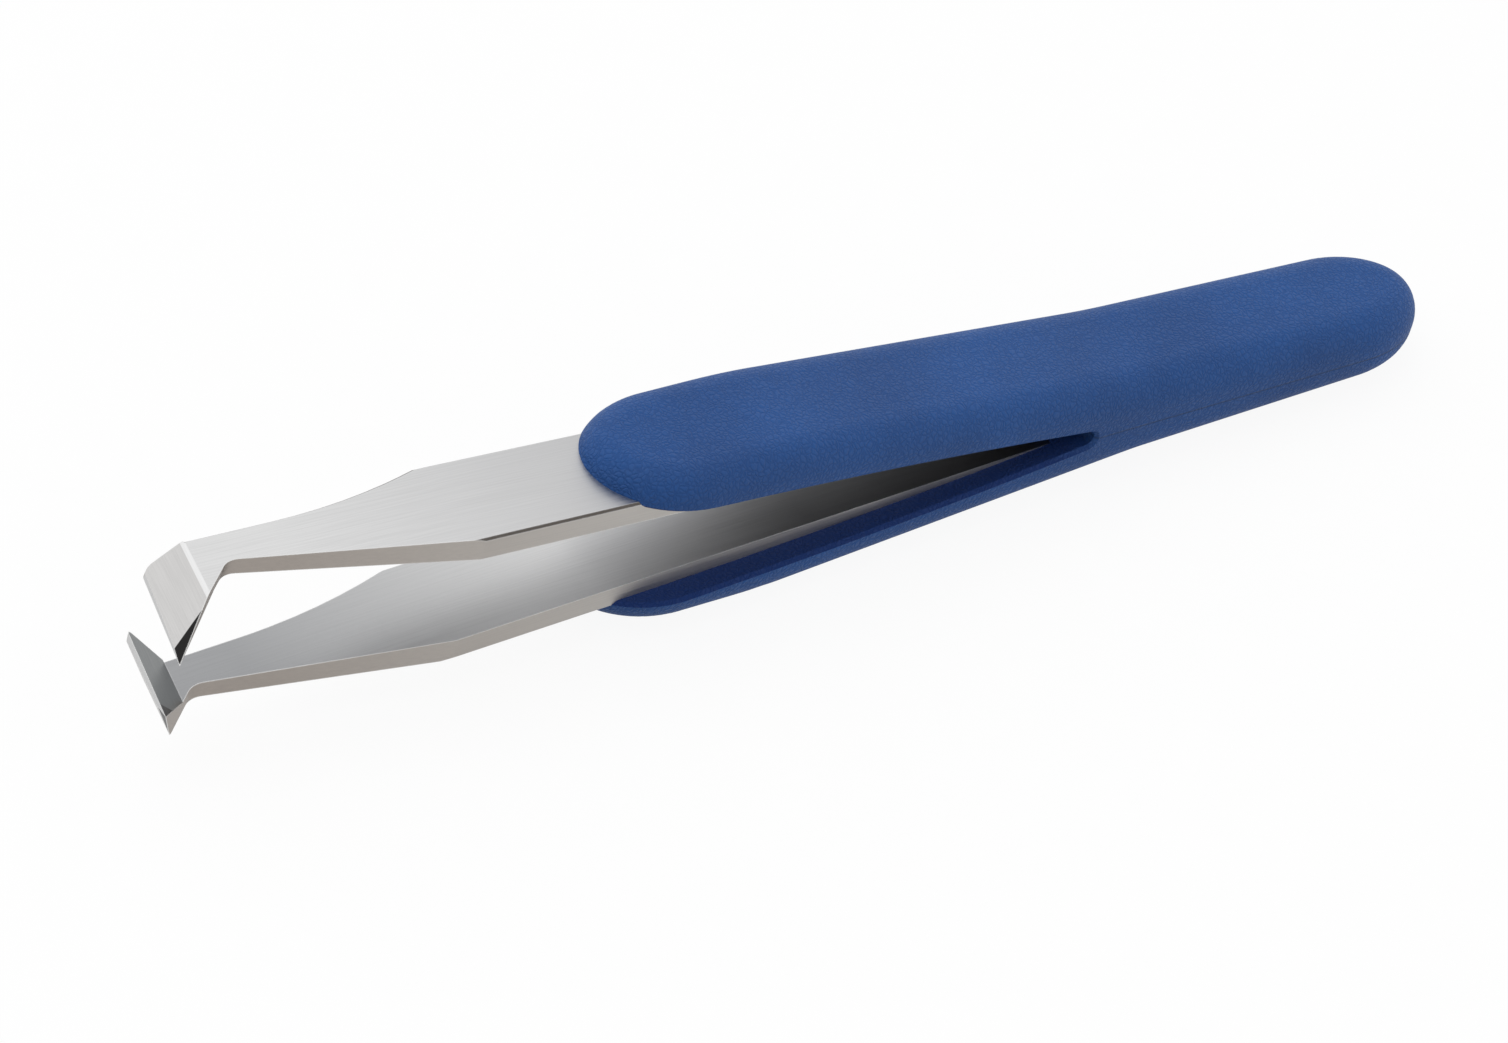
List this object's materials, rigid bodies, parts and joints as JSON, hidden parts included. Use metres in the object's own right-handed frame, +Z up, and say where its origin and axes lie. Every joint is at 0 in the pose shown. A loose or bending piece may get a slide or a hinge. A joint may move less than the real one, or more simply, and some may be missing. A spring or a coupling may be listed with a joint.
{
  "type": "cutting tweezers",
  "caption": "Spring steel cutting tweezers with oblique bent-in cutting heads and a soft moulded grip around both arms.",
  "frame": {"origin": "on the floor, under the middle of the tool's bounding box", "axes": "+X along the tool from the cutting tips to the rear of the grip, +Y across the arms, +Z up"},
  "size_m": [0.1204, 0.0122, 0.0184],
  "materials": {
    "arm_steel": "brushed lengthwise",
    "grip_rubber": "satin, fine leather grain"
  },
  "bodies": {
    "root": {"upper_arm": "arm_steel", "lower_arm": "arm_steel", "grip": "grip_rubber"}
  },
  "joints": []
}
